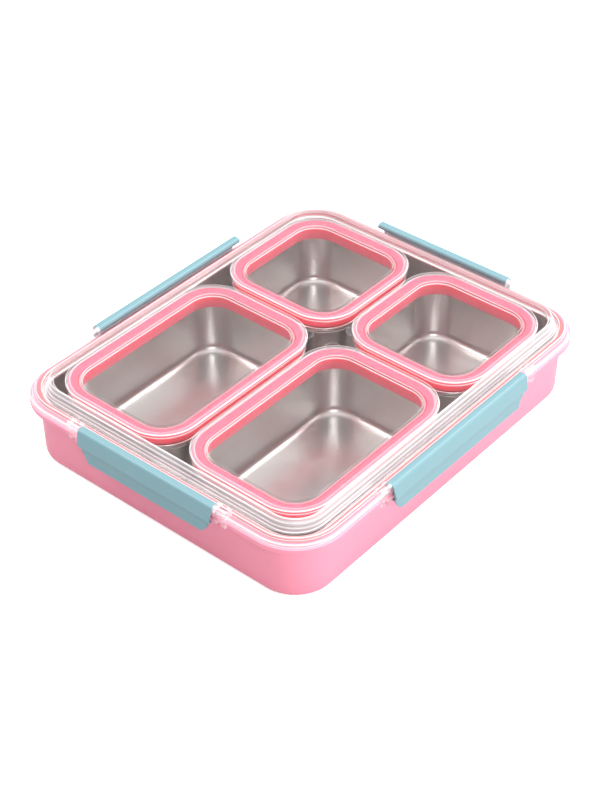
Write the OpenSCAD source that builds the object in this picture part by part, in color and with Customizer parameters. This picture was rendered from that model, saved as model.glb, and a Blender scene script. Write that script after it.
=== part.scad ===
// Flat lunch carrier: drafted plastic case, steel liner, four lidded steel bowls,
// and one clear outer lid held shut by four hinged snap latches.
// Millimetres, Z up, origin under the middle of the case.

/* [Case] */
// Length of the case rim along X
case_length = 280; // [230:1:340]
// Width of the case rim along Y
case_width = 228; // [190:1:280]
// Height of the case rim above the table
case_height = 43.2; // [36:0.2:56]
// Radius of the rim at the four corners
case_corner = 32; // [26:0.5:44]
// Thickness of the case wall and floor
case_wall = 2.2; // [1.6:0.1:3]
// How far the rim lip stands out from the wall
lip_overhang = 5.8; // [4:0.2:7]
// Height of the rim lip
lip_height = 5; // [4:0.2:8]
// How much narrower the wall is at the bottom
wall_draft = 0.8; // [0:0.1:3]
// Radius where the case wall meets the floor
case_fillet = 6; // [4:0.5:9]

/* [Liner] */
// Steel sheet thickness of the liner and bowls
sheet = 0.8; // [0.6:0.1:1.2]
// Space between the case wall and the liner wall
liner_gap = 1.2; // [0.6:0.1:3]
// Radius where the liner wall meets its floor
liner_fillet = 6; // [3:0.5:8]

/* [Outer lid] */
// Thickness of the clear lid
lid_wall = 1.9; // [1.6:0.1:2.6]
// Rise of the flat top panel above the lid flange
lid_rise = 7.5; // [7:0.5:16]
// How far the top panel edge is set in from its foot
lid_slope = 2.4; // [0.5:0.1:3.2]

/* [Containers] */
// Gap between neighbouring containers
box_gap = 4; // [3:0.2:8]
// Share of the length taken by the two long containers
box_split = 0.594; // [0.5:0.002:0.7]
// Corner radius of the containers
box_corner = 26; // [20:0.5:34]
// Distance from a container's edge to its bowl wall
bowl_inset = 6.2; // [5:0.1:8]
// Margin from the rim edge to the containers along X
box_margin_x = 17.9; // [16.2:0.1:24]
// Margin from the rim edge to the containers along Y
box_margin_y = 16.2; // [16.2:0.1:24]
// Height of the moulded collar above the bowl rim
collar_height = 7; // [4:0.2:9]
// Depth of the moulded collar inside a bowl
collar_depth = 10; // [8:0.5:16]
// Radius where the bowl wall meets its floor
bowl_fillet = 8; // [4:0.5:10]
// How much narrower the bowl is at the bottom
bowl_draft = 1.4; // [0:0.1:3]

/* [Latches] */
// Length of the latches on the two long sides
latch_long = 130; // [80:1:150]
// Length of the latches on the two short sides
latch_short = 103; // [60:1:120]
// How far each latch hangs below its hinge axis
latch_drop = 18.9; // [15:0.1:24]
// Width of each hinge lug along the side
lug_width = 9; // [6:0.5:12]
// Radius of the stub hinge pins
pin_radius = 1.2; // [0.8:0.05:1.4]

/* [Hidden] */
$fn = 64;
pin_clearance = 0.05;
part_gap = 0.3;
rim_gap = 0.4;
head_room = 1;
lip_z = case_height - lip_height;
step_z = case_height - 1.6;
under_z = case_height + rim_gap;
flange_z = under_z + lid_wall;
skirt_z = step_z + 0.2;
skirt = 2;
groove_z = under_z + 2;
bump_z = groove_z + lid_wall - 0.2;
top_z = flange_z + lid_rise;
liner_inset = lip_overhang + wall_draft + case_wall + liner_gap;
ledge = liner_inset - 1.2;
hang = ledge - 1.2;
foot = liner_inset + 0.4;
liner_z = case_wall + 0.4;
box_z = liner_z + sheet + part_gap;
box_top = top_z - lid_wall - head_room;
cover_wall = 1.2;
collar_top = box_top - cover_wall - part_gap;
collar_z = collar_top - collar_height;
collar_in = bowl_inset + sheet + 0.1;
plug_in = collar_in + 1.7;
box_space = case_length - 2 * box_margin_x - box_gap;
box_long = box_space * box_split;
box_short = box_space - box_long;
box_width = (case_width - 2 * box_margin_y - box_gap) / 2;
hinge_in = 1.3;
hinge_r = 1.9;
hinge_z = flange_z + hinge_r + part_gap;
lug_r = hinge_r + 1;
bump_out = hinge_in + hinge_r + 0.5;
seal_out = bump_out + 1.1;
seal_in = hang - 0.4;

// Points of an arc about (cx, cz), from one angle to another
function arc(cx, cz, r, a0, a1, n = 6) =
    [for (k = [0 : n]) [cx + r * cos(a0 + (a1 - a0) * k / n), cz + r * sin(a0 + (a1 - a0) * k / n)]];

// Carry a section round a rounded rectangle; the section's x is 0 at the outline, negative inward
module sweep(l, w, r) {
    for (q = [[1, 1, 0], [-1, 1, 90], [-1, -1, 180], [1, -1, 270]])
        translate([q[0] * (l / 2 - r), q[1] * (w / 2 - r), 0])
            rotate([0, 0, q[2]])
                rotate_extrude(angle = 90)
                    translate([r, 0])
                        children();
    for (a = [0, 90, 180, 270]) {
        run = (a % 180 == 0) ? w : l;
        reach = (a % 180 == 0) ? l / 2 : w / 2;
        rotate([0, 0, a])
            translate([reach - r, 0, 0])
                rotate([90, 0, 0])
                    linear_extrude(height = run - 2 * r, center = true)
                        translate([r, 0])
                            children();
    }
}

// Flat plate with a rounded rectangular outline
module plate(l, w, r, z, h) {
    translate([0, 0, z])
        linear_extrude(height = h) {
            square([l - 2 * r, w], center = true);
            square([l, w - 2 * r], center = true);
            for (x = [-1, 1], y = [-1, 1])
                translate([x * (l / 2 - r), y * (w / 2 - r)])
                    circle(r = r);
        }
}

// Local frame of one side: x along the side, -y outward from the rim edge
module at_side(a) {
    rotate([0, 0, a])
        translate([0, -((a % 180 == 0) ? case_width : case_length) / 2, 0])
            children();
}

// Section in (outward, up) run along the local x axis
module along_side(len) {
    rotate([90, 0, -90])
        linear_extrude(height = len, center = true)
            children();
}

module base_case() {
    low = lip_overhang + wall_draft;
    in = low + case_fillet;
    r = case_corner;
    color([0.98, 0.69, 0.78]) {
        sweep(case_length, case_width, r)
            polygon(concat(
                arc(-in, case_fillet, case_fillet, -90, 0),
                [[-lip_overhang, lip_z], [-0.8, lip_z], [0, lip_z + 0.8], [0, step_z]],
                [[-skirt - part_gap, step_z]],
                [[-skirt - part_gap, case_height - 0.5], [-skirt - part_gap - 0.5, case_height]],
                [[-hang + 0.1, case_height], [-hang + 0.1, case_height - sheet]],
                [[-ledge, case_height - sheet], [-ledge, lip_z]],
                [[-lip_overhang - case_wall, lip_z - 1.5]],
                arc(-in, case_fillet, case_fillet - case_wall, 0, -90)));
        plate(case_length - 2 * in, case_width - 2 * in, r - in, 0, case_wall);
    }
}

module steel_liner() {
    in = liner_inset + liner_fillet;
    r = case_corner;
    cz = liner_z + liner_fillet;
    color([0.78, 0.78, 0.80]) {
        sweep(case_length, case_width, r)
            polygon(concat(
                arc(-in, cz, liner_fillet, -90, 0),
                [[-liner_inset, case_height - sheet], [-hang, case_height - sheet], [-hang, case_height]],
                [[-liner_inset - sheet, case_height]],
                arc(-in, cz, liner_fillet - sheet, 0, -90)));
        plate(case_length - 2 * in, case_width - 2 * in, r - in, liner_z, sheet);
    }
}

// One clear hinge lug: ear with the pin bore, and a tongue down over the skirt
module lug(x0, side) {
    mid = x0 + side * lug_width / 2;
    translate([mid, 0, 0])
        along_side(lug_width) {
            translate([-hinge_in, hinge_z])
                circle(r = lug_r);
            polygon([[-hinge_in - lug_r, flange_z - 0.5], [-hinge_in - lug_r, hinge_z], [-hinge_in + lug_r, hinge_z],
                [2.2, hinge_z - 0.8], [2.2, step_z - 2.4], [0.4, step_z - 2.4], [0.4, skirt_z + 0.4],
                [-0.6, skirt_z + 0.4], [-0.6, flange_z - 0.5]]);
        }
}

module lug_bore(x0, side) {
    translate([x0 - side * 0.1, hinge_in, hinge_z])
        rotate([0, side * 90, 0])
            cylinder(r = pin_radius + pin_clearance, h = 4);
}

module outer_lid() {
    l = case_length;
    r = case_corner;
    in = foot + lid_slope + 3.2;
    color([0.90, 0.94, 0.96, 0.45])
        difference() {
            union() {
                sweep(l, case_width, r)
                    polygon([[0, skirt_z], [0, flange_z - 0.6], [-0.6, flange_z], [-bump_out, flange_z],
                        [-bump_out - 0.4, bump_z], [-seal_in - 0.8, bump_z],
                        [-seal_in - 1.2, flange_z], [-foot, flange_z],
                        [-foot - lid_slope + 0.6, top_z - 1], [-foot - lid_slope - 0.4, top_z],
                        [-in, top_z], [-in, top_z - lid_wall], [-foot - lid_slope - 1.6, top_z - lid_wall],
                        [-foot - lid_slope - 1, top_z - lid_wall - 0.6], [-foot - lid_wall, under_z],
                        [-seal_in - 0.1, under_z], [-seal_in - 0.1, groove_z], [-seal_out + 0.1, groove_z],
                        [-seal_out + 0.1, under_z], [-skirt, under_z], [-skirt, skirt_z]]);
                plate(l - 2 * in, case_width - 2 * in, r - in, top_z - lid_wall, lid_wall);
                for (a = [0, 90, 180, 270], side = [-1, 1])
                    at_side(a)
                        lug(side * (latch_len(a) / 2 + part_gap), side);
            }
            for (a = [0, 90, 180, 270], side = [-1, 1])
                at_side(a)
                    lug_bore(side * (latch_len(a) / 2 + part_gap), side);
        }
}

module lid_seal() {
    color([0.86, 0.22, 0.24])
        sweep(case_length, case_width, case_corner)
            polygon([[-seal_out, groove_z - 0.1], [-seal_out, under_z], [-seal_out - 0.6, case_height + 0.25],
                [-seal_in + 0.6, case_height + 0.25], [-seal_in, under_z], [-seal_in, groove_z - 0.1]]);
}

function latch_len(a) = (a % 180 == 0) ? latch_long : latch_short;

// One snap latch in its local side frame, stub pins included
module latch(a) {
    len = latch_len(a);
    top = hinge_z + hinge_r;
    low = hinge_z - latch_drop;
    crease = step_z - 0.6;
    half = len / 2;
    color([0.62, 0.80, 0.84])
        at_side(a) {
            intersection() {
                along_side(len) {
                    translate([-hinge_in, hinge_z])
                        circle(r = hinge_r);
                    polygon(concat(
                        [[-hinge_in, hinge_z], [-hinge_in, top]],
                        arc(2.2, top - 1.8, 1.8, 90, 0),
                        [[4.4, crease], [3.5, low + 0.6], [3.1, low], [2.3, low], [1.9, low + 0.6]],
                        [[2.4, lip_z - 2.6], [0.2, lip_z - 1.7], [0.2, lip_z - 0.7], [2.4, lip_z - 0.4]],
                        [[2.3, hinge_z - 0.6], [1.7, hinge_z]]));
                }
                translate([0, 8, 0])
                    rotate([90, 0, 0])
                        linear_extrude(height = 16)
                            polygon(concat(
                                [[-half, top + 1], [-half, crease + 2]],
                                arc(-half + 12, low + 4, 4, 205, 270),
                                arc(half - 12, low + 4, 4, 270, 335),
                                [[half, crease + 2], [half, top + 1]]));
            }
            for (side = [-1, 1])
                translate([side * (half - 1), hinge_in, hinge_z])
                    rotate([0, side * 90, 0])
                        cylinder(r = pin_radius, h = 4.2);
        }
}

// Plan size and centre of container k: 0 rear left, 1 front left, 2 rear right, 3 front right
function box_len(k) = (k < 2) ? box_long : box_short;
function box_x(k) = (k < 2) ? -case_length / 2 + box_margin_x + box_long / 2
    : case_length / 2 - box_margin_x - box_short / 2;
function box_y(k) = ((k % 2 == 0) ? 1 : -1) * (box_width + box_gap) / 2;

module at_box(k) {
    translate([box_x(k), box_y(k), 0])
        children();
}

module bowl(k) {
    r = box_corner;
    low = bowl_inset + bowl_draft;
    in = low + bowl_fillet;
    cz = box_z + bowl_fillet;
    color([0.76, 0.75, 0.74])
        at_box(k) {
            sweep(box_len(k), box_width, r) {
                polygon(concat(
                    arc(-in, cz, bowl_fillet, -90, 0),
                    [[-bowl_inset, collar_z - sheet], [-2.6, collar_z - sheet], [-2.6, collar_z]],
                    [[-bowl_inset - sheet, collar_z]],
                    arc(-in, cz, bowl_fillet - sheet, 0, -90)));
            }
            sweep(box_len(k), box_width, r)
                translate([-2.6, collar_z - 0.9])
                    circle(r = 0.9);
            plate(box_len(k) - 2 * in, box_width - 2 * in, r - in, box_z, sheet);
        }
}

module collar(k) {
    low = collar_top - 0.4 - collar_depth;
    color([0.98, 0.42, 0.50])
        at_box(k)
            sweep(box_len(k), box_width, box_corner)
                polygon([[-2.6, collar_z], [-2.6, collar_z + 0.7], [-1.5, collar_z + 0.9],
                    [-1.5, collar_top - 0.4], [-1.9, collar_top], [-collar_in + 0.2, collar_top],
                    [-collar_in - 0.3, collar_top - 0.5], [-collar_in - 1.5, low + 0.4],
                    [-collar_in - 1.3, low], [-collar_in - 0.5, low],
                    [-collar_in - 0.1, collar_z - 0.1], [-collar_in, collar_z]]);
}

module cover(k) {
    r = box_corner;
    in = plug_in + 2.2;
    sx = (k < 2) ? 1 : -1;
    sy = (k % 2 == 0) ? -1 : 1;
    floor_z = box_top - 3.5;
    color([0.92, 0.95, 0.96, 0.4])
        at_box(k) {
            sweep(box_len(k), box_width, r)
                polygon([[0, box_top - 3.2], [0, box_top - 0.6], [-0.6, box_top], [-plug_in - 0.5, box_top],
                    [-plug_in - 1, box_top - 0.5], [-plug_in - cover_wall, floor_z + cover_wall],
                    [-in, floor_z + cover_wall], [-in, floor_z], [-plug_in, floor_z],
                    [-plug_in, box_top - cover_wall], [-cover_wall, box_top - cover_wall],
                    [-cover_wall, box_top - 3.2]]);
            plate(box_len(k) - 2 * in, box_width - 2 * in, r - in, floor_z, cover_wall);
            translate([sx * (box_len(k) / 2 - r), sy * (box_width / 2 - r), box_top - cover_wall])
                rotate([0, 0, atan2(sy, sx)])
                    translate([r - 1.5, 0, 0])
                        cylinder(r = 5, h = cover_wall);
        }
}

module gasket(k) {
    color([0.95, 0.90, 0.90])
        at_box(k)
            sweep(box_len(k), box_width, box_corner)
                polygon([[-plug_in, box_top - 3.1], [-plug_in + 0.6, box_top - 3.1], [-plug_in + 0.9, box_top - 2.7],
                    [-plug_in + 0.9, box_top - 2.1], [-plug_in + 0.6, box_top - 1.7], [-plug_in, box_top - 1.7]]);
}

base_case();
steel_liner();
outer_lid();
lid_seal();
latch(0);  // latch_front
latch(90);  // latch_right
latch(180);  // latch_back
latch(270);  // latch_left
bowl(0);  // bowl_rear_left
bowl(1);  // bowl_front_left
bowl(2);  // bowl_rear_right
bowl(3);  // bowl_front_right
collar(0);  // collar_rear_left
collar(1);  // collar_front_left
collar(2);  // collar_rear_right
collar(3);  // collar_front_right
cover(0);  // cover_rear_left
cover(1);  // cover_front_left
cover(2);  // cover_rear_right
cover(3);  // cover_front_right
gasket(0);  // gasket_rear_left
gasket(1);  // gasket_front_left
gasket(2);  // gasket_rear_right
gasket(3);  // gasket_front_right
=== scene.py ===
"""Looks for the flat lunch carrier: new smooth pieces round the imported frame, their finishes, lights and camera."""
import logging
import math
from collections.abc import Mapping, Sequence
from dataclasses import dataclass, field
from enum import Enum

import bpy
import numpy as np
from mathutils import Matrix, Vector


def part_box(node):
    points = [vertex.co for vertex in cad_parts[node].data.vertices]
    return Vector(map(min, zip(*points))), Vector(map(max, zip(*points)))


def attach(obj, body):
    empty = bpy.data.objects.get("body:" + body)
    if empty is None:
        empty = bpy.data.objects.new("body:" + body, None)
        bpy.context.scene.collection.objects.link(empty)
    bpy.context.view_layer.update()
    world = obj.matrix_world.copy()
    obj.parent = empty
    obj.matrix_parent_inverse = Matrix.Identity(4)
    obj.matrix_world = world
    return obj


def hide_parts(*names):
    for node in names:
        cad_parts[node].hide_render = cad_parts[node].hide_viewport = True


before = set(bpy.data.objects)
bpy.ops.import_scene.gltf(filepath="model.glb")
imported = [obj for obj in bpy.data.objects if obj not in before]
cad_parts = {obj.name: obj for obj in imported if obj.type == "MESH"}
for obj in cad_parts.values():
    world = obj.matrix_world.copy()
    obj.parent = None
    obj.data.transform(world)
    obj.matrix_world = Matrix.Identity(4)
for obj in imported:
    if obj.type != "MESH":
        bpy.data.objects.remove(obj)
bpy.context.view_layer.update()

LOG = logging.getLogger("lunch_carrier")
MM = 0.001
SUPPORT_MM = 0.3  # flat strip kept beside each rounding, so that wide faces shade flat
CORNER_STEPS = 14  # columns round each corner of an outline
CORNER_SUPPORT_MM = 1.2  # the same strip beside each corner of an outline
TAB_STEPS = 48  # columns round a lift tab
PIN_OUT_MM = 3.2  # how far a latch's pins reach out past each of its ends in the CAD
RUNNING_GAP_MM = 0.3  # clearance between pieces that move on one another
END_BEVEL_MM = 0.5  # width of the bevel round the ends of lugs and latches
WHITE = "ffffff"


# ---------------------------------------------------------------- surfaces

def srgb(hex_colour: str) -> tuple[float, float, float, float]:
    """Turn an sRGB hex colour into linear RGBA.

    Args:
        hex_colour: Six hex digits, such as "f5a0b4".

    Returns:
        The linear colour with alpha 1.
    """
    parts = np.array([int(hex_colour[k:k + 2], 16) for k in (0, 2, 4)]) / 255.0
    linear = np.where(parts <= 0.04045, parts / 12.92, ((parts + 0.055) / 1.055) ** 2.4)
    return (float(linear[0]), float(linear[1]), float(linear[2]), 1.0)


def eased(points: Sequence[tuple[float, float, float]], closed: bool = False, steps: int = 5) -> np.ndarray:
    """Round the corners of a section.

    Each corner is replaced by the arc that touches both its edges, with the corner's own radius, and
    a support point is kept a little way along each edge outside the arc.

    Args:
        points: Corners as (x, z, radius) in millimetres; x is 0 at the outline and negative inward.
        closed: True if the last corner joins the first.
        steps: Segments in each arc.

    Returns:
        The rounded section, one row of (x, z, edge) for each point; edge swells to 1 in the middle of an arc and
        is 0 elsewhere.
    """
    at = np.array([p[:2] for p in points], dtype=float)
    count = len(at)
    rows: list[np.ndarray] = []
    for k, (_, _, radius) in enumerate(points):
        if radius <= 0 or (not closed and k in (0, count - 1)):
            rows.append(np.append(at[k], 0.0)[None, :])
            continue
        back, ahead = at[k - 1] - at[k], at[(k + 1) % count] - at[k]
        len_back, len_ahead = float(np.hypot(*back)), float(np.hypot(*ahead))
        back, ahead = back / len_back, ahead / len_ahead
        half = math.acos(float(np.clip(back @ ahead, -1, 1))) / 2
        reach = min(radius / math.tan(half), 0.46 * len_back, 0.46 * len_ahead)
        first, last = at[k] + back * reach, at[k] + ahead * reach
        centre = at[k] + (back + ahead) / np.hypot(*(back + ahead)) * reach / math.cos(half)
        start = math.atan2(*(first - centre)[::-1])
        turn = math.atan2(*(last - centre)[::-1]) - start
        turn = (turn + math.pi) % (2 * math.pi) - math.pi
        angles = start + turn * np.linspace(0, 1, steps + 1)
        size = float(np.hypot(*(first - centre)))
        arc = centre + size * np.stack([np.cos(angles), np.sin(angles)], axis=1)
        gap_back = min(SUPPORT_MM, 0.4 * (len_back / 2 - reach))
        gap_ahead = min(SUPPORT_MM, 0.4 * (len_ahead / 2 - reach))
        edge = np.pad(np.sin(np.linspace(0, math.pi, steps + 1)), 1)[:, None]
        rows.append(np.hstack([np.vstack([first + back * gap_back, arc, last + ahead * gap_ahead]), edge]))
    return np.vstack(rows)


@dataclass(frozen=True)
class Outline:
    """A rounded rectangle seen from above, in millimetres, that sections are carried round."""

    length: float
    width: float
    radius: float
    x: float = 0.0
    y: float = 0.0

    def stations(self) -> np.ndarray:
        """Places round the outline: corner centres with the outward direction at each.

        Every corner turns a quarter circle in equal steps; the straights between corners get a support
        place beside each corner and two more between.

        Returns:
            Rows of (centre x, centre y, outward x, outward y).
        """
        half = np.array([self.length / 2 - self.radius, self.width / 2 - self.radius])
        signs = np.array([[1, 1], [-1, 1], [-1, -1], [1, -1]])
        centres = signs * half + [self.x, self.y]
        rows: list[np.ndarray] = []
        for k in range(4):
            angles = np.radians(90 * k + np.linspace(0, 90, CORNER_STEPS + 1))
            turn = np.stack([np.full_like(angles, centres[k, 0]), np.full_like(angles, centres[k, 1]),
                             np.cos(angles), np.sin(angles)], axis=1)
            run = centres[(k + 1) % 4] - centres[k]
            support = CORNER_SUPPORT_MM / np.hypot(*run)
            shares = np.array([support, 0.34, 0.66, 1 - support])[:, None]
            straight = np.hstack([centres[k] + run * shares, np.repeat(turn[-1:, 2:], 4, axis=0)])
            rows += [turn, straight]
        return np.vstack(rows)

    def carry(self, section: np.ndarray) -> np.ndarray:
        """Carry a section round the outline.

        A point lies at its corner centre plus the outward direction times (radius + section x), at
        height section z.

        Args:
            section: Rows of (x, z, edge), the first two in millimetres.

        Returns:
            Points in metres, shaped (places, section points, 3).
        """
        places = self.stations()
        reach = self.radius + section[:, 0]
        flat = places[:, None, :2] + places[:, None, 2:] * reach[None, :, None]
        height = np.broadcast_to(section[None, :, 1:2], flat.shape[:2] + (1,))
        return np.concatenate([flat, height], axis=2) * MM


def grid_faces(rows: int, columns: int, wrap_rows: bool, wrap_columns: bool) -> np.ndarray:
    """Quads of a grid of points numbered row by row.

    Args:
        rows: Number of rows.
        columns: Number of points in a row.
        wrap_rows: True if the last row joins the first.
        wrap_columns: True if the last column joins the first.

    Returns:
        Rows of four point numbers.
    """
    r = np.arange(rows if wrap_rows else rows - 1)[:, None]
    c = np.arange(columns if wrap_columns else columns - 1)[None, :]
    r2, c2 = (r + 1) % rows, (c + 1) % columns
    corners = [r * columns + c, r2 * columns + c, r2 * columns + c2, r * columns + c2]
    shape = np.broadcast_shapes(r.shape, c.shape)
    return np.stack([np.broadcast_to(k, shape) for k in corners], axis=-1).reshape(-1, 4)


def dish_faces(rows: int, columns: int) -> list[list[int]]:
    """Faces of a grid whose rows go all the way round, with a flat face over each of its two inner rims.

    Args:
        rows: Number of rows.
        columns: Number of points in a row, from the middle of one skin to the middle of the other.

    Returns:
        Lists of point numbers.
    """
    first = np.arange(rows) * columns
    return grid_faces(rows, columns, True, False).tolist() + [first[::-1].tolist(), (first + columns - 1).tolist()]


def bar_faces(rows: int, columns: int) -> list[list[int]]:
    """Faces of a grid whose columns go round a closed section, with a flat face over each end.

    Args:
        rows: Number of rows along the bar.
        columns: Number of points round the section.

    Returns:
        Lists of point numbers.
    """
    first = np.arange(columns)
    ends = [first.tolist(), (first + (rows - 1) * columns)[::-1].tolist()]
    return grid_faces(rows, columns, False, True).tolist() + ends


def signed_volume(points: np.ndarray, faces: Sequence[Sequence[int]]) -> float:
    """Volume enclosed by faces: a sixth of the sum of triple products over fans of triangles.

    Args:
        points: Rows of (x, y, z).
        faces: Lists of point numbers.

    Returns:
        The volume, negative when the faces point inward.
    """
    fans = np.array([(f[0], f[k], f[k + 1]) for f in faces for k in range(1, len(f) - 1)])
    a, b, c = points[fans[:, 0]], points[fans[:, 1]], points[fans[:, 2]]
    return float(np.einsum("ij,ij->i", a, np.cross(b, c)).sum() / 6)


def make_piece(name: str, points: np.ndarray, faces: list[list[int]], edge: np.ndarray) -> bpy.types.Object:
    """Put points and faces into a smooth mesh object with its faces outward.

    Args:
        name: Name of the object and its mesh.
        points: Points in metres, shaped (rows, section points, 3).
        faces: Lists of point numbers.
        edge: How far each section point is on a rounded edge, kept as the attribute "edge".

    Returns:
        The new object, linked to the scene, at the origin.
    """
    edges = np.tile(edge, points.shape[0]).astype(np.float32)
    points = points.reshape(-1, 3)
    if signed_volume(points, faces) < 0:
        faces = [face[::-1] for face in faces]
    mesh = bpy.data.meshes.new(name)
    mesh.from_pydata(points.tolist(), [], faces)
    mesh.polygons.foreach_set("use_smooth", np.ones(len(mesh.polygons), dtype=bool))
    mesh.attributes.new("edge", "FLOAT", "POINT").data.foreach_set("value", edges)
    mesh.validate()
    mesh.update()
    piece = bpy.data.objects.new(name, mesh)
    bpy.context.scene.collection.objects.link(piece)
    return piece


def ring_piece(name: str, outline: Outline, section: np.ndarray) -> bpy.types.Object:
    """A closed section carried all the way round an outline.

    Args:
        name: Name of the piece.
        outline: The outline that the section follows.
        section: The closed section.

    Returns:
        The new closed piece.
    """
    points = outline.carry(section)
    return make_piece(name, points, grid_faces(*points.shape[:2], True, True).tolist(), section[:, 2])


def dish_piece(name: str, outline: Outline, section: np.ndarray) -> bpy.types.Object:
    """An open section carried round an outline, its two inner rims closed by flat faces.

    Args:
        name: Name of the piece.
        outline: The outline that the section follows.
        section: Section from the middle of one skin, out, and back to the middle of the other.

    Returns:
        The new closed piece.
    """
    points = outline.carry(section)
    return make_piece(name, points, dish_faces(*points.shape[:2]), section[:, 2])


def bar_piece(name: str, points: np.ndarray, edge: np.ndarray) -> bpy.types.Object:
    """A closed section carried along a bar, with flat ends whose edges are bevelled.

    Args:
        name: Name of the piece.
        points: Points in metres, shaped (rows along the bar, section points, 3).
        edge: How far each section point is on a rounded edge.

    Returns:
        The new closed piece.
    """
    piece = make_piece(name, points, bar_faces(*points.shape[:2]), edge)
    bevel = piece.modifiers.new("edge", "BEVEL")
    bevel.width, bevel.segments = END_BEVEL_MM * MM, 3
    bevel.limit_method, bevel.angle_limit = "ANGLE", math.radians(50)
    return piece


def raise_painted_highlight(section: np.ndarray, where: np.ndarray, share: float) -> None:
    """Raise the edge value of the chosen section points to at least a share; clear finishes paint that value as a
    white highlight.

    Args:
        section: Rows of (x, z, edge), changed in place.
        where: True for each chosen row.
        share: The least edge value that they get.
    """
    section[where, 2] = np.maximum(section[where, 2], share)


# ---------------------------------------------------------------- finishes

def add(tree: bpy.types.NodeTree, kind: str, sockets: Mapping[int | str, object] | None = None,
        **settings: object) -> bpy.types.Node:
    """Add a shader node with its settings, values and links.

    Args:
        tree: The node tree that gets the node.
        kind: The node's type name.
        sockets: Input name or number to a value, or to the output socket that feeds it.
        **settings: Properties of the node itself.

    Returns:
        The new node.
    """
    made = tree.nodes.new(kind)
    for name, value in settings.items():
        setattr(made, name, value)
    for key, value in (sockets or {}).items():
        if isinstance(value, bpy.types.NodeSocket):
            tree.links.new(value, made.inputs[key])
        else:
            made.inputs[key].default_value = value
    return made


def blank_material(name: str) -> tuple[bpy.types.Material, bpy.types.NodeTree]:
    """A new material with an empty node tree.

    Args:
        name: Name of the material.

    Returns:
        The material and its node tree.
    """
    material = bpy.data.materials.new(name)
    material.use_nodes = True
    material.node_tree.nodes.clear()
    return material, material.node_tree


@dataclass(frozen=True)
class MouldedPlastic:
    """Injection-moulded plastic: even colour with a faint flow mottle and a fine spark-eroded grain.

    scatter is the share of light that soaks in, scatter_mm how far red goes, and glow a painted light: an emission
    in the plastic's own colour that stands in for light coming out of thin walls. Above painted_top_z_mm the colour
    is
    painted_lit_top_colour, if there is one: a paler copy, painted as the lit top.
    """

    name: str
    colour: str
    shade: str
    roughness: float
    grain_mm: float = 0.5
    grain_depth_mm: float = 0.012
    gloss_swing: float = 0.05
    mottle_mm: float = 40.0
    scatter: float = 0.0
    scatter_mm: float = 2.5
    ior: float = 1.49
    painted_glow: float = 0.0
    painted_lit_top_colour: str | None = None
    painted_top_z_mm: float = 0.0
    painted_top_blend_mm: float = 0.5

    def build(self) -> bpy.types.Material:
        """Make the material and return it."""
        material, tree = blank_material(self.name)
        place = add(tree, "ShaderNodeTexCoord").outputs["Object"]
        mottle = add(tree, "ShaderNodeTexNoise", {"Vector": place, "Scale": 1 / (self.mottle_mm * MM), "Detail": 3.0})
        colour = add(tree, "ShaderNodeMix", {0: mottle.outputs["Fac"], 6: srgb(self.shade), 7: srgb(self.colour)},
                     data_type="RGBA")
        # painted light: above a height the colour turns to a paler copy, the lit top
        if self.painted_lit_top_colour is not None:
            height = add(tree, "ShaderNodeSeparateXYZ", {0: place}).outputs["Z"]
            on_painted_top = add(tree, "ShaderNodeMapRange", {"Value": height, "From Max": self.painted_top_z_mm * MM,
                                                       "From Min": (self.painted_top_z_mm - self.painted_top_blend_mm) * MM})
            colour = add(tree, "ShaderNodeMix", {0: on_painted_top.outputs[0], 6: colour.outputs[2],
                                                 7: srgb(self.painted_lit_top_colour)}, data_type="RGBA")
        grain = add(tree, "ShaderNodeTexNoise", {"Vector": place, "Scale": 1 / (self.grain_mm * MM), "Detail": 2.0})
        gloss = add(tree, "ShaderNodeMapRange", {"Value": grain.outputs["Fac"],
                                                 "To Min": self.roughness - self.gloss_swing,
                                                 "To Max": self.roughness + self.gloss_swing})
        bump = add(tree, "ShaderNodeBump", {"Height": grain.outputs["Fac"], "Strength": 0.6,
                                            "Distance": self.grain_depth_mm * MM})
        # an emission in the plastic's own colour, for the finishes that set one, is painted light
        skin = add(tree, "ShaderNodeBsdfPrincipled", {
            "Base Color": colour.outputs[2], "Roughness": gloss.outputs[0], "IOR": self.ior,
            "Normal": bump.outputs[0], "Subsurface Weight": self.scatter,
            "Subsurface Radius": (1.0, 0.35, 0.35), "Subsurface Scale": self.scatter_mm * MM,
            "Emission Color": srgb(self.colour), "Emission Strength": self.painted_glow})
        add(tree, "ShaderNodeOutputMaterial", {"Surface": skin.outputs[0]})
        return material


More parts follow.
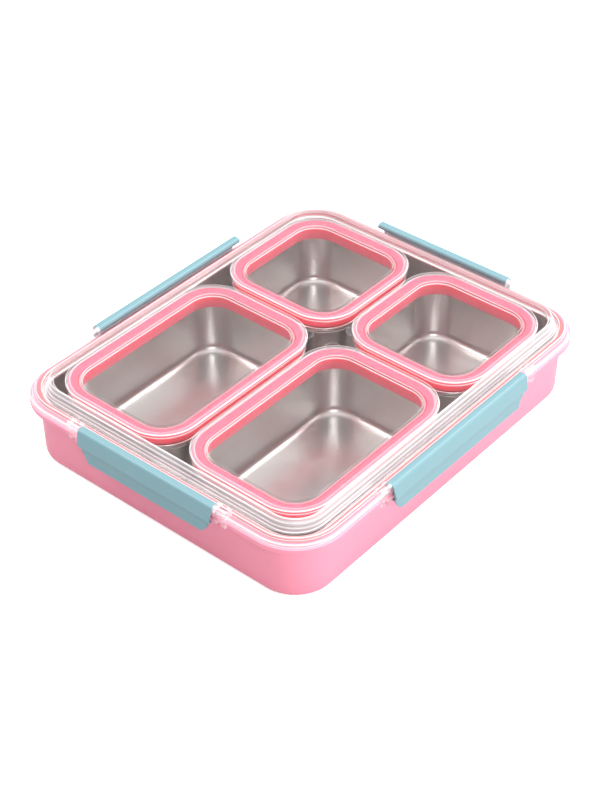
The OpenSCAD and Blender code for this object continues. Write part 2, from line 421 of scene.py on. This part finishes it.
@dataclass(frozen=True)
class BrushedSteel:
    """Pressed stainless sheet: grey metal with a satin polish that runs in fine level lines and cloudy patches."""

    name: str
    colour: str
    roughness: float
    line_colour: str = "dad4d2"
    line_mm: float = 0.35
    line_length_mm: float = 30.0
    cloud_mm: float = 14.0
    cloud_swing: float = 0.06
    line_depth_mm: float = 0.006

    def build(self) -> bpy.types.Material:
        """Make the material and return it."""
        material, tree = blank_material(self.name)
        place = add(tree, "ShaderNodeTexCoord").outputs["Object"]
        # polishing lines: noise squeezed to line_mm up and across, and drawn out along X
        along, across = 1 / (self.line_length_mm * MM), 1 / (self.line_mm * MM)
        drawn = add(tree, "ShaderNodeMapping", {"Vector": place, "Scale": (along, across, across)})
        lines = add(tree, "ShaderNodeTexNoise", {"Vector": drawn.outputs[0], "Scale": 1.0, "Detail": 3.0})
        cloud = add(tree, "ShaderNodeTexNoise", {"Vector": place, "Scale": 1 / (self.cloud_mm * MM), "Detail": 1.0})
        gloss = add(tree, "ShaderNodeMapRange", {"Value": cloud.outputs["Fac"],
                                                 "To Min": self.roughness - self.cloud_swing,
                                                 "To Max": self.roughness + self.cloud_swing})
        tone = add(tree, "ShaderNodeMix", {0: lines.outputs["Fac"], 6: srgb(self.line_colour), 7: srgb(self.colour)},
                   data_type="RGBA")
        bump = add(tree, "ShaderNodeBump", {"Height": lines.outputs["Fac"], "Strength": 0.35,
                                            "Distance": self.line_depth_mm * MM})
        skin = add(tree, "ShaderNodeBsdfPrincipled", {
            "Base Color": tone.outputs[2], "Metallic": 1.0, "Roughness": gloss.outputs[0],
            "Normal": bump.outputs[0]})
        add(tree, "ShaderNodeOutputMaterial", {"Surface": skin.outputs[0]})
        return material


@dataclass(frozen=True)
class ClearPlastic:
    """Clear moulded sheet: nothing but gloss on its flats, and a painted white highlight along its rounded edges.

    head_on is a facing sheet's mirror share, slant_tint its colour at a glance, partly painted shade, and
    edge_painted_highlight the share of painted white highlight on the attribute "edge".
    """

    name: str
    slant_tint: str = "5a5054"
    painted_highlight_white: str = "fffafd"
    roughness: float = 0.05
    head_on: float = 0.02
    wave_mm: float = 18.0
    wave_depth_mm: float = 0.05
    edge_painted_highlight: float = 0.7

    def build(self) -> bpy.types.Material:
        """Make the material and return it."""
        material, tree = blank_material(self.name)
        place = add(tree, "ShaderNodeTexCoord").outputs["Object"]
        wave = add(tree, "ShaderNodeTexNoise", {"Vector": place, "Scale": 1 / (self.wave_mm * MM), "Detail": 1.0})
        bump = add(tree, "ShaderNodeBump", {"Height": wave.outputs["Fac"], "Strength": 0.2,
                                            "Distance": self.wave_depth_mm * MM})
        turned = add(tree, "ShaderNodeLayerWeight", {"Blend": 0.5}).outputs["Facing"]
        # steep is the fifth power of how far the sheet turns from facing, the law by which a mirror's share rises
        steep = add(tree, "ShaderNodeMath", {0: turned, 1: 5.0}, operation="POWER")
        # a wall seen at a slant greys: partly it is seen through more plastic, and partly the grey is painted shade
        # standing in for the dark lines that refraction shows at its edges
        grey = add(tree, "ShaderNodeMix", {0: steep.outputs[0], 6: srgb(WHITE), 7: srgb(self.slant_tint)},
                   data_type="RGBA")
        through = add(tree, "ShaderNodeBsdfTransparent", {"Color": grey.outputs[2]})
        shine = add(tree, "ShaderNodeBsdfGlossy", {"Color": srgb(WHITE), "Roughness": self.roughness,
                                                   "Normal": bump.outputs[0]})
        glance = add(tree, "ShaderNodeMapRange", {"Value": steep.outputs[0], "To Min": self.head_on})
        clear = add(tree, "ShaderNodeMixShader", {0: glance.outputs[0], 1: through.outputs[0], 2: shine.outputs[0]})
        # painted highlight: a white diffuse is mixed in by the attribute "edge", standing in for lamps reflected in
        # the rounded edges
        edge = add(tree, "ShaderNodeAttribute", attribute_name="edge").outputs["Fac"]
        share = add(tree, "ShaderNodeMapRange", {"Value": edge, "To Max": self.edge_painted_highlight})
        painted_highlight_white = add(tree, "ShaderNodeBsdfDiffuse", {"Color": srgb(self.painted_highlight_white)})
        skin = add(tree, "ShaderNodeMixShader", {0: share.outputs[0], 1: clear.outputs[0], 2: painted_highlight_white.outputs[0]})
        add(tree, "ShaderNodeOutputMaterial", {"Surface": skin.outputs[0]})
        return material


class Finish(Enum):
    """The finishes of the carrier, each named for its real material."""

    # soft even pink with a broad, gentle sheen: polypropylene is waxy and lets a little light into itself
    CASE = MouldedPlastic("moulded_pink_polypropylene", "fa9ab1", "f695ac", 0.42, scatter=0.1)
    # harder, slightly cool teal with a tighter sheen, as ABS has from a polished mould
    LATCH = MouldedPlastic("moulded_teal_abs", "7fa6ae", "7ba1aa", 0.38)
    # light soaks into the thin ring; an emission in its own colour paints more light onto its shaded walls so they
    # read warm coral, and the paler colour on its top is a painted lit top
    COLLAR = MouldedPlastic("moulded_coral_polypropylene", "ff6f7d", "fc6977", 0.28, grain_mm=0.8, scatter=1.0,
                            scatter_mm=6.0, painted_glow=0.16, painted_lit_top_colour="fa788d", painted_top_z_mm=48.5)
    # dull rubbery lines with hardly any highlight: dusky in the lid's channel, pale under the covers
    SEAL = MouldedPlastic("moulded_red_silicone", "d98488", "d27c80", 0.5, ior=1.41)
    GASKET = MouldedPlastic("moulded_rose_silicone", "f79aa8", "f3919f", 0.45, scatter=0.2, ior=1.41)
    # grey metal that smears what it reflects: broad cloudy highlights, brightest along the rounded floor edges
    LINER = BrushedSteel("pressed_stainless", "f6f2f1", 0.45, line_colour="eae4e2")
    BOWL = BrushedSteel("satin_stainless", "dad8d6", 0.33, line_colour="cac6c4", cloud_swing=0.07)
    # all but unseen face on; white lines painted as highlights on every rounded edge, and mirror-like glances on
    # walls seen at a slant
    LID = ClearPlastic("moulded_clear_styrene")
    COVER = ClearPlastic("moulded_clear_copolyester", roughness=0.06, wave_mm=14.0, edge_painted_highlight=0.9)


MATERIALS = {finish: finish.value.build() for finish in Finish}


def dress(piece: bpy.types.Object, finish: Finish, slot: str, body: str, *nodes: str) -> None:
    """Give a piece its finish, hide the CAD nodes that it stands for, and hang it on the body that it rides on.

    Args:
        piece: The new piece.
        finish: The finish that it wears.
        slot: Not used.
        body: The CAD body that it moves with.
        *nodes: CAD nodes that it replaces.
    """
    piece.data.materials.append(MATERIALS[finish])
    # a thin clear sheet shades hardly anything, so light goes straight through it to what is under it
    piece.visible_shadow = piece.visible_diffuse = finish not in (Finish.LID, Finish.COVER)
    if nodes:
        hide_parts(*nodes)
    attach(piece, body)
    LOG.info("%s: %d faces, %s, on %s", piece.name, len(piece.data.polygons), finish.name.lower(), body)


# ---------------------------------------------------------------- sub-assemblies

def size_of(node: str) -> tuple[np.ndarray, np.ndarray]:
    """Size and middle of a CAD node's box.

    Args:
        node: The CAD node.

    Returns:
        Its (x, y, z) size and its middle, in millimetres.
    """
    low, high = (np.array(corner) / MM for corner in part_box(node))
    return high - low, (high + low) / 2


@dataclass
class Case:
    """The plastic case and the steel liner that hangs in it. Sizes in millimetres."""

    corner: float = 32.0
    wall: float = 2.2
    lip_out: float = 5.8
    lip_height: float = 5.0
    draft: float = 0.8
    fillet: float = 6.0
    sheet: float = 0.8
    liner_in: float = 10.0
    liner_fillet: float = 6.0
    liner_gap: float = 0.4
    ledge_out: float = 1.2
    ledge: float = 1.3
    step_in: float = 2.3
    step: float = 1.6
    outline: Outline = field(init=False)
    top: float = field(init=False)

    def __post_init__(self) -> None:
        """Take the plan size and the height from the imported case."""
        size, _ = size_of("base_case")
        self.outline = Outline(float(size[0]), float(size[1]), self.corner)
        self.top = float(size[2])

    def build_shell(self) -> None:
        """The drafted shell with its rounded floor edge, overhanging lip, stepped rim and ledge for the liner."""
        low = self.lip_out + self.draft
        middle = low + self.fillet + 2
        lip, step, seat = self.top - self.lip_height, self.top - self.step, self.top - self.sheet
        inner = self.liner_in - self.ledge_out
        section = eased([
            (-middle, 0, 0), (-low, 0, self.fillet), (-self.lip_out, lip, 0.9), (0, lip, 1.0),
            (0, step, 0.35), (-self.step_in, step, 0.2), (-self.step_in, self.top, 0.5),
            (-inner + self.ledge, self.top, 0.2), (-inner + self.ledge, seat, 0.1), (-inner, seat, 0.3),
            (-inner, lip, 0.8), (-self.lip_out - self.wall, lip - 1.5, 1.0),
            (-low - self.wall, self.wall, self.fillet - self.wall), (-middle - self.wall, self.wall, 0)], steps=7)
        dress(dish_piece("case_shell", self.outline, section), Finish.CASE, "case_plastic", "case", "base_case")

    def build_liner(self) -> None:
        """The pressed tray, hung by its turned-out flange."""
        out, floor, seat = self.liner_in, self.wall + self.liner_gap, self.top - self.sheet
        middle, flange = out + self.liner_fillet + 3, self.ledge_out + self.ledge - 0.1
        section = eased([
            (-middle, floor, 0), (-out, floor, self.liner_fillet), (-out, seat, 0.7), (-out + flange, seat, 0.0),
            (-out + flange, self.top, 0.3), (-out - self.sheet, self.top, 1.4),
            (-out - self.sheet, floor + self.sheet, self.liner_fillet - self.sheet),
            (-middle, floor + self.sheet, 0)], steps=7)
        dress(dish_piece("steel_liner_tray", self.outline, section), Finish.LINER, "liner_steel", "case",
              "steel_liner")

    def build(self) -> None:
        """Make the case's pieces."""
        self.build_shell()
        self.build_liner()


class Side(Enum):
    """The four sides, each with the turn from the front side to it, in degrees."""

    FRONT = 0
    RIGHT = 90
    BACK = 180
    LEFT = 270

    @property
    def label(self) -> str:
        """The side's name as CAD nodes spell it."""
        return self.name.lower()

    def place(self, points: np.ndarray, case: Outline) -> np.ndarray:
        """Turn points from the front side's frame (x along, y outward, z up) onto this side.

        Args:
            points: Points in millimetres, with y 0 at the rim edge and growing outward.
            case: The case's outline.

        Returns:
            Points in metres.
        """
        reach = (case.width if self.value % 180 == 0 else case.length) / 2
        turn = math.radians(self.value)
        x, y = points[..., 0], -(reach + points[..., 1])
        return np.stack([x * math.cos(turn) - y * math.sin(turn), x * math.sin(turn) + y * math.cos(turn),
                         points[..., 2]], axis=-1) * MM


@dataclass
class OuterLid:
    """The clear outer lid with its hinge lugs and its silicone seal. Sizes in millimetres."""

    case: Case
    wall: float = 1.9
    lift: float = 0.4
    skirt: float = 2.0
    skirt_deep: float = 1.4
    rise: float = 7.5
    slope: float = 2.4
    ridge: tuple[float, float] = (3.7, 8.4)
    ridge_high: float = 3.7
    channel: tuple[float, float] = (4.7, 7.3)
    channel_deep: float = 2.0
    # shares of painted light: a reflection on the drafted wall, a highlight on the flange and skirt
    satin: float = 0.62
    flange_painted_highlight: float = 0.15
    lug_width: float = 9.0
    lug_waist: float = 0.8
    hinge_in: float = 1.3
    hinge_r: float = 1.9
    under: float = field(init=False)
    flange: float = field(init=False)
    top: float = field(init=False)

    def __post_init__(self) -> None:
        """Stack the lid's heights on the case's rim."""
        self.under = self.case.top + self.lift
        self.flange = self.under + self.wall
        self.top = self.flange + self.rise

    @property
    def hinge_z(self) -> float:
        """Height of the hinge axis, a running gap clear of the flange."""
        return self.flange + self.hinge_r + RUNNING_GAP_MM

    def build_lid(self) -> None:
        """The lid moulding: skirt, flange, ridge with the seal's channel under it, drafted wall and flat panel."""
        top, under, flange = self.top, self.under, self.flange
        foot = self.case.liner_in + 0.4
        head = foot + self.slope
        middle = head + 6
        ridge_z, groove, skirt_z = under + self.ridge_high, under + self.channel_deep, self.case.top - self.skirt_deep
        (ridge_out, ridge_in), (channel_out, channel_in) = self.ridge, self.channel
        section = eased([
            (-middle, top, 0), (-head, top, 1.0), (-foot - 1.7, top - 2.4, 0.5), (-foot - 0.9, top - 2.6, 0.5),
            (-foot - 0.7, top - 5.0, 0.5), (-foot, top - 5.2, 0.5), (-foot + 0.2, flange, 0.7),
            (-ridge_in, flange, 0.5), (-ridge_in + 0.4, ridge_z, 0.9), (-ridge_out - 0.4, ridge_z, 0.9),
            (-ridge_out, flange, 0.5), (0, flange, 1.0), (0, skirt_z, 0.5), (-self.skirt, skirt_z, 0.5),
            (-self.skirt, under, 0.5), (-channel_out, under, 0.1), (-channel_out, groove, 0.1),
            (-channel_in, groove, 0.1), (-channel_in, under, 0.1), (-foot - self.wall, under, 0.6),
            (-head - self.wall, top - self.wall, 0.9), (-middle, top - self.wall, 0)])
        x, z = section[:, 0], section[:, 1]
        # the drafted wall gets a whitish painted reflection, standing in for the lamps seen in it at a slant
        drafted = (z > flange + 0.3) & (z < top - 0.6) & (x < -ridge_in - 0.6) & (x > -head - 0.4)
        raise_painted_highlight(section, drafted, self.satin)
        # the thick flange and the outside of the skirt get a faint painted highlight
        raise_painted_highlight(section, (x > -ridge_out + 0.1) & (z > flange - 0.2) | (x > -0.1), self.flange_painted_highlight)
        dress(dish_piece("clear_lid", self.case.outline, section), Finish.LID, "clear_lid", "lid", "outer_lid")

    def build_seal(self) -> None:
        """The silicone ring that fills the channel and bears on the case's rim."""
        slack, taper = 0.1, 0.6
        out, inner = self.channel[0] + slack, self.channel[1] - slack
        groove, rest = self.under + self.channel_deep - slack, self.case.top + 0.25
        section = eased([(-out, groove, 0.2), (-out, self.under, 0.2), (-out - taper, rest, 0.3),
                         (-inner + taper, rest, 0.3), (-inner, self.under, 0.2), (-inner, groove, 0.2)],
                        closed=True, steps=3)
        dress(ring_piece("lid_seal_ring", self.case.outline, section), Finish.SEAL, "red_silicone", "lid", "lid_seal")

    def build_lug(self, side: Side, place: float, name: str) -> None:
        """One hinge lug: a rounded cheek round the pin, waisted midway, with a short tongue down over the skirt.

        Args:
            side: The side that it stands on.
            place: The middle of the lug along that side.
            name: Name of the piece.
        """
        crown, foot = self.hinge_z + 2.9, self.hinge_z - 8.5
        section = eased([
            (-4.2, self.flange - 0.4, 0.3), (-4.2, crown, 2.8), (1.6, crown, 2.7), (2.2, self.hinge_z - 0.8, 0.4),
            (2.2, foot, 0.5), (0.5, foot, 0.4), (0.5, self.flange - 0.6, 0.4)], closed=True, steps=6)
        spots = np.array([-1, -0.94, -0.5, -0.42, -0.36, 0.36, 0.42, 0.5, 0.94, 1])
        waist = np.where(np.abs(spots) < 0.4, self.lug_waist, 1.0)[:, None, None]
        core = np.array([-self.hinge_in, self.hinge_z])
        ring = core + (section[None, :, :2] - core) * waist
        along = np.repeat(place + self.lug_width / 2 * spots[:, None], len(section), axis=1)
        grid = np.concatenate([along[:, :, None], ring], axis=2)
        dress(bar_piece(name, side.place(grid, self.case.outline), section[:, 2]), Finish.LID, "clear_lid", "lid")

    def build(self) -> None:
        """Make the lid's pieces."""
        self.build_lid()
        self.build_seal()
        for side in Side:
            size, _ = size_of(f"latch_{side.label}")
            reach = float(max(size[0], size[1])) / 2 - PIN_OUT_MM + RUNNING_GAP_MM + self.lug_width / 2
            for end, sign in (("a", -1), ("b", 1)):
                self.build_lug(side, sign * reach, f"hinge_lug_{side.label}_{end}")


@dataclass
class Latch:
    """One snap latch, its section carried along its side and narrowed to its lower edge. Sizes in millimetres."""

    side: Side
    lid: OuterLid
    drop: float = 18.9
    cut: float = 8.0
    length: float = field(init=False)

    def __post_init__(self) -> None:
        """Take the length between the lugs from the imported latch."""
        size, _ = size_of(f"latch_{self.side.label}")
        self.length = float(max(size[0], size[1])) - 2 * PIN_OUT_MM

    @property
    def low(self) -> float:
        """Height of the lower edge."""
        return self.lid.hinge_z - self.drop

    def section(self) -> np.ndarray:
        """The closed section as (outward, up, edge): barrel, top strip, face, crease, finger lip and catch."""
        axis, radius, low = self.lid.hinge_z, self.lid.hinge_r, self.low
        back = -self.lid.hinge_in - radius
        lip = self.lid.case.top - self.lid.case.lip_height
        crease = self.lid.case.top - 3.4
        return eased([
            (back, axis + radius, 1.85), (2.4, axis + radius, 2.2), (4.4, crease, 0.6), (2.7, crease - 2.8, 2.0),
            (2.5, low + 3.0, 2.0), (3.4, low, 0.4), (2.0, low, 0.5), (2.4, lip - 2.6, 0.3), (0.2, lip - 1.9, 0.4),
            (0.2, lip - 0.6, 0.4), (2.4, lip - 0.3, 0.5), (2.3, axis - 0.2, 0.8), (0.9, axis - 0.3, 0.5),
            (0.2, axis - radius, 1.2), (back, axis - radius, 1.85)], closed=True, steps=6)

    def build(self) -> None:
        """Make the latch.

        Its half length at height z is the full half down to the shoulder, just above the crease. Below that it
        loses cut times 0.55 down + 0.45 down^4, where down runs from 0 at the shoulder to 1 at the lower edge, so
        that the ends slant and then round in.
        """
        section = self.section()
        shoulder = self.lid.case.top - 0.4
        down = np.clip((shoulder - section[:, 1]) / (shoulder - self.low), 0, 1)
        reach = self.length / 2 - self.cut * (0.55 * down + 0.45 * down ** 4)
        spots = np.concatenate([[-1, -0.985, -0.96], np.linspace(-0.9, 0.9, 9), [0.96, 0.985, 1]])
        along = spots[:, None] * reach
        grid = np.stack([along, *(np.broadcast_to(section[:, k], along.shape) for k in (0, 1))], axis=-1)
        name = f"latch_{self.side.label}"
        piece = bar_piece(f"snap_{name}", self.side.place(grid, self.lid.case.outline), section[:, 2])
        dress(piece, Finish.LATCH, "latch_plastic", f"{name}_body", name)


@dataclass
class Container:
    """One food container: steel bowl, moulded collar, clear cover and gasket. Sizes in millimetres."""

    name: str
    lid: OuterLid
    corner: float = 26.0
    bowl_in: float = 6.2
    draft: float = 1.4
    fillet: float = 10.5
    sheet: float = 0.8
    rim_in: float = 1.0
    rim_high: float = 1.9
    cover_wall: float = 1.2
    plug_out: float = 1.8
    # shares of painted highlight: over the raised rim, and kept on the plug's roots
    rim_painted_highlight: float = 0.14
    root_painted_highlight_share: float = 0.5
    tab_r: float = 5.0
    collar_high: float = 7.0
    collar_deep: float = 10.4
    outline: Outline = field(init=False)
    top: float = field(init=False)

    def __post_init__(self) -> None:
        """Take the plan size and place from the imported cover."""
        size, middle = size_of(f"cover_{self.name}")
        self.outline = Outline(float(size[0]), float(size[1]), self.corner, float(middle[0]), float(middle[1]))
        self.top = float(middle[2] + size[2] / 2)

    @property
    def collar_top(self) -> float:
        """Height of the collar's top, a running gap below the cover."""
        return self.top - self.cover_wall - RUNNING_GAP_MM

    @property
    def seat(self) -> float:
        """Height of the bowl's rim, where the collar sits."""
        return self.collar_top - self.collar_high

    @property
    def wall_in(self) -> float:
        """How far in the bowl's inner wall stands below its rim."""
        return self.bowl_in + self.sheet

    @property
    def plug_in(self) -> float:
        """How far in the cover's plug stands."""
        return self.wall_in + self.plug_out

    def build_bowl(self) -> None:
        """The pressed bowl with its rolled rim and the swelling under it that stiffens the wall."""
        floor = float(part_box(f"bowl_{self.name}")[0][2]) / MM
        low, seat, roll = self.bowl_in + self.draft, self.seat, self.seat - self.rim_high
        middle = low + self.fillet + 0.9
        section = eased([
            (-middle, floor, 0), (-low, floor, self.fillet), (-self.bowl_in, seat - 6.4, 0.8),
            (-3.4, seat - 5.4, 0.9), (-2.2, seat - 3.4, 1.2), (-3.2, roll, 0.4), (-self.rim_in, roll, 0.9),
            (-self.rim_in, seat, 0.9), (-self.wall_in, seat, 1.0),
            (-low - self.sheet, floor + self.sheet, self.fillet - self.sheet), (-middle, floor + self.sheet, 0)],
            steps=8)
        dress(dish_piece(f"steel_bowl_{self.name}", self.outline, section), Finish.BOWL, "bowl_steel",
              f"container_{self.name}", f"bowl_{self.name}")

    def build_collar(self) -> None:
        """The moulded collar: outer band, flat top ring and inner wall that hooks under the bowl's rim."""
        top, foot = self.collar_top, self.seat + 0.05
        inner, low = self.wall_in + 0.1, top - self.collar_deep
        section = eased([
            (-2.6, foot, 0), (-2.6, self.seat + 0.7, 0.2), (-1.5, self.seat + 0.9, 0.3), (-1.5, top, 0.7),
            (-inner - 0.3, top, 0.6), (-inner - 1.3, low, 0.35), (-inner - 0.5, low, 0.2),
            (-inner - 0.1, self.seat - 0.1, 0.1), (-inner, foot, 0)], closed=True)
        dress(ring_piece(f"collar_ring_{self.name}", self.outline, section), Finish.COLLAR, "collar_plastic",
              f"container_{self.name}", f"collar_{self.name}")

    def build_cover(self) -> None:
        """The clear cover: short skirt, flange with a raised rim, plug and sunk floor."""
        top, wall, plug = self.top, self.cover_wall, self.plug_in
        floor, skirt, under = top - 3.5, top - 3.2, top - wall - 0.2
        middle = plug + 5
        section = eased([
            (-middle, floor + wall, 0), (-plug - wall, floor + wall, 0.7), (-plug - 1, top - 0.4, 0.6),
            (-3.1, top - 0.4, 0.3), (-2.7, top, 0.4), (0, top, 0.8), (0, skirt, 0.4), (-wall, skirt, 0.4),
            (-wall, under, 0.3), (-plug, under, 0.2), (-plug, floor, 0.7), (-middle, floor, 0)], steps=5)
        # the raised rim gets a faint painted highlight all over; the plug's thin roots get less of the
        # painted edge highlight
        raise_painted_highlight(section, (section[:, 0] > -2.9) & (section[:, 1] > top - 0.9), self.rim_painted_highlight)
        section[section[:, 0] < -plug + 0.2, 2] *= self.root_painted_highlight_share
        dress(dish_piece(f"clear_cover_{self.name}", self.outline, section), Finish.COVER, "clear_cover",
              f"container_lid_{self.name}", f"cover_{self.name}")

    def build_tab(self) -> None:
        """The cover's lift tab: a flat disc on the rim, at the corner that faces the middle of the case."""
        hub, rise, under = 1.0, self.top - 0.35, self.top - self.cover_wall
        section = eased([(hub, rise, 0), (self.tab_r, rise, 0.4), (self.tab_r, under, 0.3), (hub, under, 0)], steps=4)
        # the tab's painted edge highlight is cut to half the roots' share
        section[:, 2] *= self.root_painted_highlight_share / 2
        plan = self.outline
        inward = -np.sign([plan.x, plan.y])
        corner = [plan.x, plan.y] + inward * (np.array([plan.length, plan.width]) / 2 - plan.radius)
        middle = corner + inward / math.sqrt(2) * (plan.radius - 1.5)
        turn = np.radians(np.linspace(0, 360, TAB_STEPS, endpoint=False))[:, None]
        reach = section[None, :, 0]
        height = np.broadcast_to(section[:, 1], (TAB_STEPS, len(section)))
        points = np.stack([middle[0] + reach * np.cos(turn), middle[1] + reach * np.sin(turn), height], axis=2) * MM
        dress(make_piece(f"lift_tab_{self.name}", points, dish_faces(*points.shape[:2]), section[:, 2]),
              Finish.COVER, "clear_cover", f"container_lid_{self.name}")

    def build_gasket(self) -> None:
        """The silicone ring round the cover's plug."""
        root, out, top = self.plug_in - 0.02, self.plug_in - 0.9, self.top
        section = eased([(-root, top - 3.1, 0.1), (-out, top - 2.9, 0.3), (-out, top - 1.9, 0.3),
                         (-root, top - 1.7, 0.1)], closed=True, steps=3)
        dress(ring_piece(f"gasket_ring_{self.name}", self.outline, section), Finish.GASKET, "white_silicone",
              f"container_lid_{self.name}", f"gasket_{self.name}")

    def build(self) -> None:
        """Make the container's pieces."""
        self.build_bowl()
        self.build_collar()
        self.build_cover()
        self.build_tab()
        self.build_gasket()


# ---------------------------------------------------------------- studio

@dataclass
class Studio:
    """Floor, soft lights and camera. Sizes in metres, and angles in degrees."""

    azimuth: float = -50.1
    elevation: float = 38.75
    distance: float = 1.123
    focal_mm: float = 79.7
    target: tuple[float, float, float] = (0.0150, 0.0174, -0.0078)
    lamp_target: tuple[float, float, float] = (0.0, 0.0, 0.02)
    surround: float = 0.44
    floor_half: float = 12.0
    floor_drop: float = 0.0002
    floor_glow: float = 0.55

    def lamp(self, name: str, place: tuple[float, float, float], size: tuple[float, float], watts: float) -> None:
        """Add a soft rectangular lamp that faces the object.

        Args:
            name: Name of the lamp.
            place: Where it stands, in metres.
            size: Its width and height, in metres.
            watts: Its power.
        """
        data = bpy.data.lights.new(name, "AREA")
        data.shape, data.size, data.size_y, data.energy = "RECTANGLE", size[0], size[1], watts
        lamp = bpy.data.objects.new(name, data)
        bpy.context.scene.collection.objects.link(lamp)
        self.face(lamp, np.array(place), np.array(self.lamp_target))

    @staticmethod
    def face(thing: bpy.types.Object, place: np.ndarray, aim: np.ndarray) -> None:
        """Stand a lamp or camera at a place, with its -Z towards a point and its top up.

        Args:
            thing: The lamp or camera.
            place: Where it stands, not straight above or below the point.
            aim: The point that it faces.
        """
        back = (place - aim) / np.linalg.norm(place - aim)
        right = np.cross([0.0, 0.0, 1.0], back)
        right /= np.linalg.norm(right)
        up = np.cross(back, right)
        pose = np.eye(4)
        pose[:3, 0], pose[:3, 1], pose[:3, 2], pose[:3, 3] = right, up, back, place
        thing.matrix_world = Matrix(pose.tolist())

    def build_floor(self) -> None:
        """A pale plain floor, wide enough to fill every view."""
        half = self.floor_half
        points = [(x, y, -self.floor_drop) for x, y in ((-half, -half), (half, -half), (half, half), (-half, half))]
        mesh = bpy.data.meshes.new("floor")
        mesh.from_pydata(points, [], [[0, 1, 2, 3]])
        floor = bpy.data.objects.new("floor", mesh)
        bpy.context.scene.collection.objects.link(floor)
        material, tree = blank_material("matt_white_paper")
        # the paper itself looks near white, and throws only a greyer, dimmer light back up under the object
        seen = add(tree, "ShaderNodeLightPath").outputs["Is Camera Ray"]
        tone = add(tree, "ShaderNodeMix", {0: seen, 6: srgb("d8d8d8"), 7: srgb("f7f7f7")}, data_type="RGBA")
        painted_glow = add(tree, "ShaderNodeMath", {0: seen, 1: self.floor_glow}, operation="MULTIPLY")
        skin = add(tree, "ShaderNodeBsdfPrincipled", {"Base Color": tone.outputs[2], "Roughness": 0.9,
                                                      "Specular IOR Level": 0.1, "Emission Color": srgb(WHITE),
                                                      "Emission Strength": painted_glow.outputs[0]})
        add(tree, "ShaderNodeOutputMaterial", {"Surface": skin.outputs[0]})
        mesh.materials.append(material)

    def build_world(self) -> None:
        """An even pale surround."""
        world = bpy.data.worlds.new("surround")
        world.use_nodes = True
        tree = world.node_tree
        tree.nodes.clear()
        back = add(tree, "ShaderNodeBackground", {"Color": srgb(WHITE), "Strength": self.surround})
        add(tree, "ShaderNodeOutputWorld", {"Surface": back.outputs[0]})
        bpy.context.scene.world = world
        bpy.context.scene.view_settings.view_transform = "Standard"

    def build_camera(self) -> None:
        """The camera, with no shift and no depth of field."""
        turn, rise = math.radians(self.azimuth), math.radians(self.elevation)
        back = np.array([math.sin(turn) * math.cos(rise), -math.cos(turn) * math.cos(rise), math.sin(rise)])
        data = bpy.data.cameras.new("camera")
        data.lens, data.sensor_width, data.clip_start, data.clip_end = self.focal_mm, 36.0, 0.05, 50.0
        camera = bpy.data.objects.new("camera", data)
        bpy.context.scene.collection.objects.link(camera)
        aim = np.array(self.target)
        self.face(camera, aim + back * self.distance, aim)
        bpy.context.scene.camera = camera

    def build(self) -> None:
        """Make the stage."""
        self.build_floor()
        self.build_world()
        self.build_camera()
        self.lamp("key", (0.35, -1.5, 0.35), (0.9, 0.3), 14.0)
        self.lamp("right", (0.9, -0.25, 1.1), (0.7, 0.7), 9.0)
        self.lamp("over", (0.1, 0.1, 1.3), (1.5, 1.2), 13.0)
        self.lamp("side", (-0.35, 0.65, 1.05), (0.7, 0.35), 5.0)
        self.lamp("front", (-0.85, -0.95, 1.1), (0.3, 0.5), 6.0)


def main() -> None:
    """Build the carrier and its stage."""
    logging.basicConfig(level=logging.INFO, format="%(message)s")
    Studio().build()
    case = Case()
    case.build()
    lid = OuterLid(case)
    lid.build()
    for side in Side:
        Latch(side, lid).build()
    for name in ("rear_left", "front_left", "rear_right", "front_right"):
        Container(name, lid).build()


if __name__ == "__main__":
    main()
